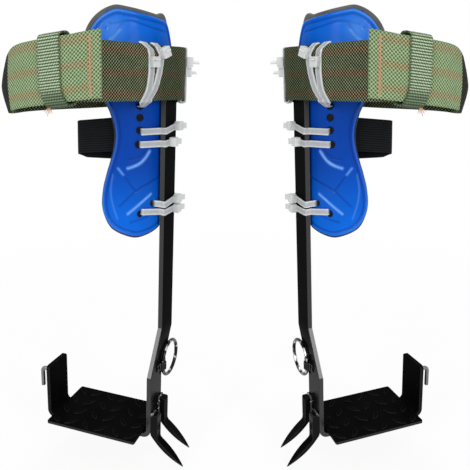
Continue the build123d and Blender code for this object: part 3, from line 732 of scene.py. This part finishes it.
stitches = bmesh.new()
stitch_count = round(stitch_span / stitch_pitch)
spot, heading = belt_course.at(stitch_row)
forward = Vector((math.cos(heading), math.sin(heading), 0))
side = Vector((-math.sin(heading), math.cos(heading)))
spot = spot + side * (belt_wall / 2 + stitch_proud)
for i in range(stitch_count + 1):
    rise = (i / stitch_count - 0.5) * stitch_span
    lean = math.radians(stitch_slant if i % 2 else -stitch_slant)
    along = forward * math.cos(lean) + Vector((0, 0, math.sin(lean)))
    lay_thread(stitches, (spot.x, spot.y, rise), along, side.to_3d(), stitch_half)
bmesh.ops.transform(stitches, matrix=belt_place, verts=stitches.verts)

thread = Finish("orange_thread", {"IOR": 1.35})
thread_fibre = thread.grain(0.0006, 3)
thread.feed("Base Color", thread.blend(thread_fibre, (0.42, 0.21, 0.12), (0.64, 0.43, 0.28)))
thread.feed("Roughness", 0.5 + 0.3 * thread_fibre)
thread.relief(thread_fibre, 0.0001, 0.6)
set_into_pair("flap_stitches", stitches, thread)


# Belt keeper: a short loop of lighter webbing round both layers of the belt, free to slide along them.
# Its ladder weave shows as rows of pale floats between dark gaps.
keeper_length, keeper_wall, keeper_corner = 18.5, 1.7, 4.3
keeper_height, keeper_depth, back_rise = 57, 9.2, 2.2
keeper_course = Course(keeper_depth / 2, -keeper_height / 2 + keeper_corner, 90)
for flat in (keeper_height, keeper_depth) * 2:
    keeper_course.run(flat - 2 * keeper_corner).turn(keeper_corner, 90)


def keeper_sway(gone, across):
    """The loop's lower end and its back slip along the belt."""
    slip_starts, slip, low_slip, back_slip = -8, 1.2, 0.016, 4.5
    spot = keeper_course.at(gone)[0]
    low, back = max(slip_starts - spot.y, 0), max(-spot.x, 0) / keeper_depth * 2
    return 0, -slip - low_slip * low**2 - back_slip * back


keeper = strip(keeper_course, keeper_length, 12, 1.2, keeper_sway)
for vert in keeper.verts:
    vert.co.y += back_rise * max(-vert.co.x, 0) / keeper_depth * 2 * max(vert.co.y, 0) / keeper_height * 2
bmesh.ops.remove_doubles(keeper, verts=keeper.verts, dist=0.01)
# The keeper stands square on the belt's far face, and slides along its slope.
keeper_out, keeper_slope = Vector((0.0194, -0.9998, 0)), Vector((-0.9865, -0.0191, -0.1627))
keeper_place = Matrix((keeper_out, (0, 0, 1), keeper_slope)).transposed().to_4x4()
keeper_place.translation = (12.157, -97.723, 382.711)
bmesh.ops.transform(keeper, matrix=keeper_place, verts=keeper.verts)
bmesh.ops.recalc_face_normals(keeper, faces=keeper.faces)

ladder = Finish("keeper_webbing", {"IOR": 1.3, "Sheen Weight": 0.1, "Sheen Roughness": 0.5})
ladder_map = ladder.node("ShaderNodeUVMap", {"uv_map": "UVMap"})
ladder_along, ladder_across = ladder.part(ladder_map, "X"), ladder.part(ladder_map, "Y")
ladder_row = 0.5 + 0.5 * ladder_along.math("SINE", ladder_along * (math.tau / 0.0022))
ladder_slant = ladder_across + ladder_along * 0.55
ladder_column = 0.5 + 0.5 * ladder_across.math("SINE", ladder_slant * (math.tau / 0.0024))
ladder_fuzz = ladder.grain(0.0009, 3)
ladder_top = ladder.rise(ladder_row * (0.45 + 0.55 * ladder_column) + 0.3 * (ladder_fuzz - 0.5), 0.22, 0.62)
# Painted shade: the loop is painted darker at the foot of its front face and all over its top, back and
# underside.
ladder_painted_shade = 1 - ladder.rise(ladder_along, 0.003, 0.013) + 1.2 * ladder.rise(ladder_along, 0.052, 0.056)
ladder_face = ladder.blend(ladder_top, (0.055, 0.09, 0.04), (0.5, 0.62, 0.42))
ladder.feed("Base Color", ladder.blend(0.65 * ladder_painted_shade, ladder_face, (0.02, 0.045, 0.015)))
ladder.feed("Roughness", 0.72 + 0.2 * ladder_fuzz)
ladder.relief(ladder_row * ladder_column + 0.3 * ladder_fuzz, 0.0007, 0.9)
keeper_pair = set_into_pair("keeper_loop", keeper, ladder, "sliding_keeper", ["belt_keeper"])
thicken(keeper_pair, keeper_wall)

# The thread of the keeper's own seam hangs in frayed ends from its lower corner.
fray, fray_half = Vector((2.5, -keeper_height / 2 + 0.6, keeper_length / 2 - 8.5)), 0.35
tuft = bmesh.new()
for lean in (-150, -128, -104, -82, -60):
    spread, reach = math.radians(lean), random.uniform(2.6, 3.8)
    along = Vector((0.15, math.sin(spread), -math.cos(spread))).normalized()
    out = along.orthogonal().normalized()
    lay_thread(tuft, fray + along * reach, along, out, (reach, fray_half, fray_half))
bmesh.ops.transform(tuft, matrix=keeper_place, verts=tuft.verts)
set_into_pair("keeper_thread", tuft, thread, "sliding_keeper")


# Pad ties: four of the eight nylon ties, each through an eyelet of the pad and drawn tight round the shank.
# Natural nylon, milky and slightly see-through, with toothed straps, square ratchet heads and cut tails.
nylon = Finish(
    "white_nylon",
    {"IOR": 1.35, "Subsurface Weight": 0.2, "Subsurface Radius": (1, 1, 0.95), "Subsurface Scale": 0.002},
)
nylon.shader.inputs["Alpha"].default_value = 0.88
nylon_cloud = nylon.grain(0.006, 2)
nylon_map = nylon.node("ShaderNodeUVMap", {"uv_map": "UVMap"})
nylon_along, nylon_across = nylon.part(nylon_map, "X"), nylon.part(nylon_map, "Y")
nylon_edge = nylon.rise(abs(nylon_across - 0.0034), 0.0014, 0.0028)
nylon_milk = nylon.blend(nylon_cloud, (0.4, 0.42, 0.44), (0.52, 0.54, 0.56))
nylon.feed("Base Color", nylon.blend(nylon_edge, nylon_milk, (0.74, 0.76, 0.75)))
nylon.feed("Roughness", 0.28 + 0.2 * nylon_cloud)
nylon_teeth = nylon_along.math("SINE", nylon_along * (math.tau / 0.0018))
nylon.relief(nylon.grain(0.002, 2) + 0.4 * nylon_teeth, 0.0001, 0.6)
tie_wall, tie_bend, strap_width = 1.3, 1.5, 6.5
tie_lock, lock_round = (6.5, 9.6, 9.2), 0.5


def drawn_round(corners):
    """A closed course round the corners at the strap's bend, and how far along it each corner is."""
    corners = [Vector(corner) for corner in corners]
    start = (corners[-1] + corners[0]) / 2
    way = corners[0] - start
    course = Course(*start, math.degrees(math.atan2(way.y, way.x)))
    stations = []
    for corner, after in zip(corners, corners[1:] + [start]):
        way, on = corner - course.spot, after - corner
        bend = math.atan2(way.x * on.y - way.y * on.x, way.dot(on))
        course.run(way.length - tie_bend * math.tan(abs(bend) / 2)).turn(tie_bend, math.degrees(bend))
        stations.append(course.length)
    return course.run((start - course.spot).length), stations


def set_tie(name, place, course, width, bow, seat, tail):
    """A strap on its course and its head; the head's x points outwards and its y along the strap."""
    strap = strip(course, width, 4, 0.9, bow)
    bmesh.ops.remove_doubles(strap, verts=strap.verts, dist=0.01)
    bmesh.ops.transform(strap, matrix=place, verts=strap.verts)
    bmesh.ops.recalc_face_normals(strap, faces=strap.faces)
    thicken(set_into_pair(f"{name}_strap", strap, nylon, stands_for=[name]), tie_wall)
    lock = bmesh.new()
    bmesh.ops.create_cube(lock, size=1, matrix=tail)
    bmesh.ops.create_cube(lock, size=1, matrix=Matrix.Diagonal((*tie_lock, 1)))
    rounding = {"offset": lock_round, "segments": 3, "profile": 0.5}
    bmesh.ops.bevel(lock, geom=lock.edges, affect="EDGES", material=-1, **rounding)
    bmesh.ops.transform(lock, matrix=place @ seat, verts=lock.verts)
    set_into_pair(f"{name}_head", lock, nylon)


shank_inside, shank_face, shank_front, shank_back = 59.2, 64.95, 11.4, 41.2
over_pad, under_pad, pad_back_out, pad_back_in = 56.2, 46.5, 58.9, 50.1
head_stand = 3.4
tail_back = Matrix.Translation((2.4, 7.2, 0)) @ Matrix.Rotation(math.radians(-24), 4, "Z")
tail_back @= Matrix.Diagonal((1.4, 8, 6, 1))


def pad_tie(name, height, start, edge, head, rises):
    """A tie from an eyelet round the shank and the pad's back edge; it rises at eyelet, shank and head."""
    ray = Vector((math.cos(math.radians(start)), math.sin(math.radians(start))))
    corners = [leg_axis + ray * over_pad, (shank_inside, shank_front)]
    corners += [(shank_face, shank_front), (shank_face, shank_back)]
    corners += [(pad_back_out, edge), (pad_back_in, edge), leg_axis + ray * under_pad]
    course, stations = drawn_round(corners)
    head_place = stations[2] + head - shank_front
    places = [0, stations[0], stations[2], head_place, stations[4], stations[5], course.length]
    at_hole, at_shank, at_head = rises
    lifts = [at_hole, at_hole, at_shank, at_head, 0, 0, at_hole]

    def bow(gone, across):
        return 0, float(np.interp(gone, places, lifts))

    seat = Matrix.Translation((shank_face + head_stand, head, at_head))
    set_tie(name, Matrix.Translation((0, 0, height)), course, strap_width, bow, seat, tail_back)


neck_edge, lobe_edge = 42.9, 52.9
pad_tie("upper_pad_tie", upper_hole, -40, neck_edge, 37.5, (-1.5, -0.6, 3.4))
pad_tie("middle_pad_tie", middle_hole, -41, neck_edge, 24.5, (0, 0.6, 1.9))
pad_tie("lower_back_pad_tie", lower_back_hole, -22.8, lobe_edge, 38.5, (-0.7, -1.6, 0.7))
pad_tie("lower_front_pad_tie", lower_front_hole, -39, lobe_edge, 38, (1.7, -0.3, -0.5))


# Front belt ties: two nylon ties round the belt's front run and through the pad.
# Their straps lie in a bow across the webbing and run down to one hole under the belt.
front_spread, front_width = 4.8, 7.2
tie_turn = belt_heading + math.radians(front_spread + 90)
tie_facing = Vector((math.cos(tie_turn), math.sin(tie_turn), 0))
tie_across = Vector((math.sin(tie_turn), -math.cos(tie_turn), 0))
belt_front, belt_behind, belt_half, low_hole, high_hole = 68.4, 64, 26.4, 354.9, 404.6
tail_side = Matrix.Translation((4.4, 2, 1)) @ Matrix.Diagonal((4, 1.3, 6.4, 1))


def front_tie(name, sideways, inner, outer, middle, bows, head, head_turn, hole_shift=0):
    """A tie round the belt; bows are the heights on the front and the strap's sideways place there."""
    top, bottom = middle + belt_half, middle - belt_half
    corners = [(inner, low_hole), (inner, high_hole), (outer, high_hole), (belt_behind, top)]
    corners += [(belt_front, top), (belt_front, bottom), (outer, low_hole)]
    course = drawn_round(corners)[0]

    def bow(gone, across):
        spot = course.at(gone)[0]
        on_front = min(max((spot.x - outer) / (belt_front - outer - 2), 0), 1)
        at_hole = hole_shift if spot.y < middle else 0
        shift = at_hole + (float(np.interp(spot.y, *zip(*bows))) - at_hole) * on_front
        return 0, shift - 0.45 * across * (1 - on_front)

    place = Matrix((tie_facing, (0, 0, 1), tie_across)).transposed().to_4x4()
    place.translation = leg_axis.to_3d() + tie_across * sideways
    height, shift = head
    seat = Matrix.Translation((belt_front + 2.6, height, shift))
    seat @= Matrix.Rotation(math.radians(head_turn), 4, "X")
    set_tie(name, place, course, front_width, bow, seat, tail_side)


first_bows = [(361.8, 11.2), (365.5, 8.2), (371, 5), (376.6, 3.3), (387.5, 1.6)]
first_bows += [(402.7, 1.7), (407.9, 3.3), (412.8, 12)]
second_bows = [(362.8, 14), (365.6, 11.3), (371.2, 7.3), (376.8, 4.5), (388, 0.9)]
second_bows += [(403.7, -2), (410.5, 3.1), (412.7, 7)]
front_tie("first_belt_tie", 19.4, 40.1, 54, 386.7, first_bows, (396.7, 0), 4)
front_tie("second_belt_tie", 9.9, 44.1, 56, 386.9, second_bows, (406.3, -4.2), 24, hole_shift=9.5)


# Turn ties: two nylon ties round the belt's webbing alone, on the turn behind the shank.
# They gather the webbing, and their heads and tails stand out sideways.
webbing_in, webbing_out, webbing_half, lock_out = 25.1, 29.8, 27, 33.2
tail_out = Matrix.Translation((6.4, 0, 0)) @ Matrix.Rotation(math.radians(22), 4, "X")
tail_out @= Matrix.Diagonal((7, 1.6, 6.4, 1))


def turn_tie(name, turned, head):
    """A tie upright round the webbing, so many degrees round the belt's turn from its heading."""
    angle = math.radians(turned)
    foot = belt_place @ Vector((shank_turn * math.cos(angle), shank_turn * math.sin(angle), 0))
    side = (foot - belt_place.translation).xy.normalized().to_3d()
    place = Matrix((side, (0, 0, 1), (side.y, -side.x, 0))).transposed().to_4x4()
    place.translation = foot - shank_turn * side
    corners = [(webbing_in, -webbing_half), (webbing_out, -webbing_half)]
    corners += [(webbing_out, webbing_half), (webbing_in, webbing_half)]
    seat = Matrix.Translation((lock_out, head, 0))
    set_tie(name, place, drawn_round(corners)[0], strap_width, None, seat, tail_out)


turn_tie("first_turn_tie", 140, 13.4)
turn_tie("second_turn_tie", 160, 4.6)


# Studio: a pale floor under the spike tips, a white surround, and soft lamps in front and behind.
# The floor glows white to the camera and still takes a faint shadow.
floor_level, floor_half = -0.0419, 6
floor_shape = bmesh.new()
bmesh.ops.create_grid(floor_shape, x_segments=1, y_segments=1, size=floor_half)
bmesh.ops.translate(floor_shape, verts=floor_shape.verts, vec=(0, 0, floor_level))
floor_mesh = bpy.data.meshes.new("studio_floor")
floor_shape.to_mesh(floor_mesh)
floor_shape.free()
floor = bpy.data.objects.new("studio_floor", floor_mesh)
bpy.context.collection.objects.link(floor)

paper = Finish("studio_paper", {"Base Color": (0.92, 0.92, 0.92, 1), "Roughness": 0.9, "IOR": 1.2})
paper_glow = paper.node("ShaderNodeEmission", None, {"Color": (1.0, 1.0, 1.0), "Strength": 1.0})
seen = 0.0
for ray in ("Is Camera Ray", "Is Glossy Ray", "Is Transmission Ray"):
    seen = paper.node("ShaderNodeLightPath", out=ray) + seen
reach = paper.node("ShaderNodeVectorMath", {"operation": "LENGTH"}, {0: paper.place()}, "Value")
share = seen.math("MINIMUM", seen, 1.0) * (0.9 + 0.1 * paper.rise(reach, 0.35, 1.1))
paper_face = Tone(paper, paper.shader.outputs[0])
paper_mix = paper.node("ShaderNodeMixShader", None, {0: share, 1: paper_face, 2: paper_glow})
paper.tree.links.new(paper_mix.socket, paper.tree.nodes["Material Output"].inputs["Surface"])
floor_mesh.materials.append(paper.material)

world = bpy.data.worlds.new("studio")
world.use_nodes = True
bpy.context.scene.world = world
sky = world.node_tree
backdrop = sky.nodes["Background"]
backdrop.inputs["Color"].default_value = (1, 1, 1, 1)
path = sky.nodes.new("ShaderNodeLightPath")
first_sum = sky.nodes.new("ShaderNodeMath")
second_sum = sky.nodes.new("ShaderNodeMath")
level = sky.nodes.new("ShaderNodeMapRange")
sky.links.new(path.outputs["Is Camera Ray"], first_sum.inputs[0])
sky.links.new(path.outputs["Is Glossy Ray"], first_sum.inputs[1])
sky.links.new(first_sum.outputs[0], second_sum.inputs[0])
sky.links.new(path.outputs["Is Transmission Ray"], second_sum.inputs[1])
sky.links.new(second_sum.outputs[0], level.inputs["Value"])
level.inputs["To Min"].default_value = 0.5
level.inputs["To Max"].default_value = 1.0
sky.links.new(level.outputs[0], backdrop.inputs["Strength"])


def lamp(name, spot, aim, size, power):
    """A soft box that points at a spot."""
    light = bpy.data.lights.new(name, "AREA")
    light.shape = "RECTANGLE"
    light.size, light.size_y = size
    light.energy = power
    holder = bpy.data.objects.new(name, light)
    holder.location = spot
    holder.rotation_euler = (Vector(aim) - Vector(spot)).to_track_quat("-Z", "Y").to_euler()
    bpy.context.collection.objects.link(holder)


lamp("left_lamp", (-1.0, -1.25, 0.85), (0, 0, 0.2), (0.5, 0.7), 11)
lamp("right_lamp", (1.0, -1.25, 0.85), (0, 0, 0.2), (0.5, 0.7), 11)
lamp("back_lamp", (0, 1.0, 1.4), (0, 0, 0.3), (1.2, 0.6), 8)

sensor, picture_width, focal_length, horizon_shift, sight_fall = 36, 470, 500, 28, 13.81
camera = bpy.data.cameras.new("photo_camera")
camera.sensor_width = sensor
camera.lens = sensor * focal_length / picture_width
camera.shift_y = -horizon_shift / picture_width
camera.clip_start = 0.01
viewer = bpy.data.objects.new("photo_camera", camera)
viewer.location = (0, -0.5116, 0.3733)
viewer.rotation_euler = (math.radians(90 - sight_fall), 0, 0)
bpy.context.collection.objects.link(viewer)
bpy.context.scene.camera = viewer
bpy.context.scene.view_settings.view_transform = "Standard"
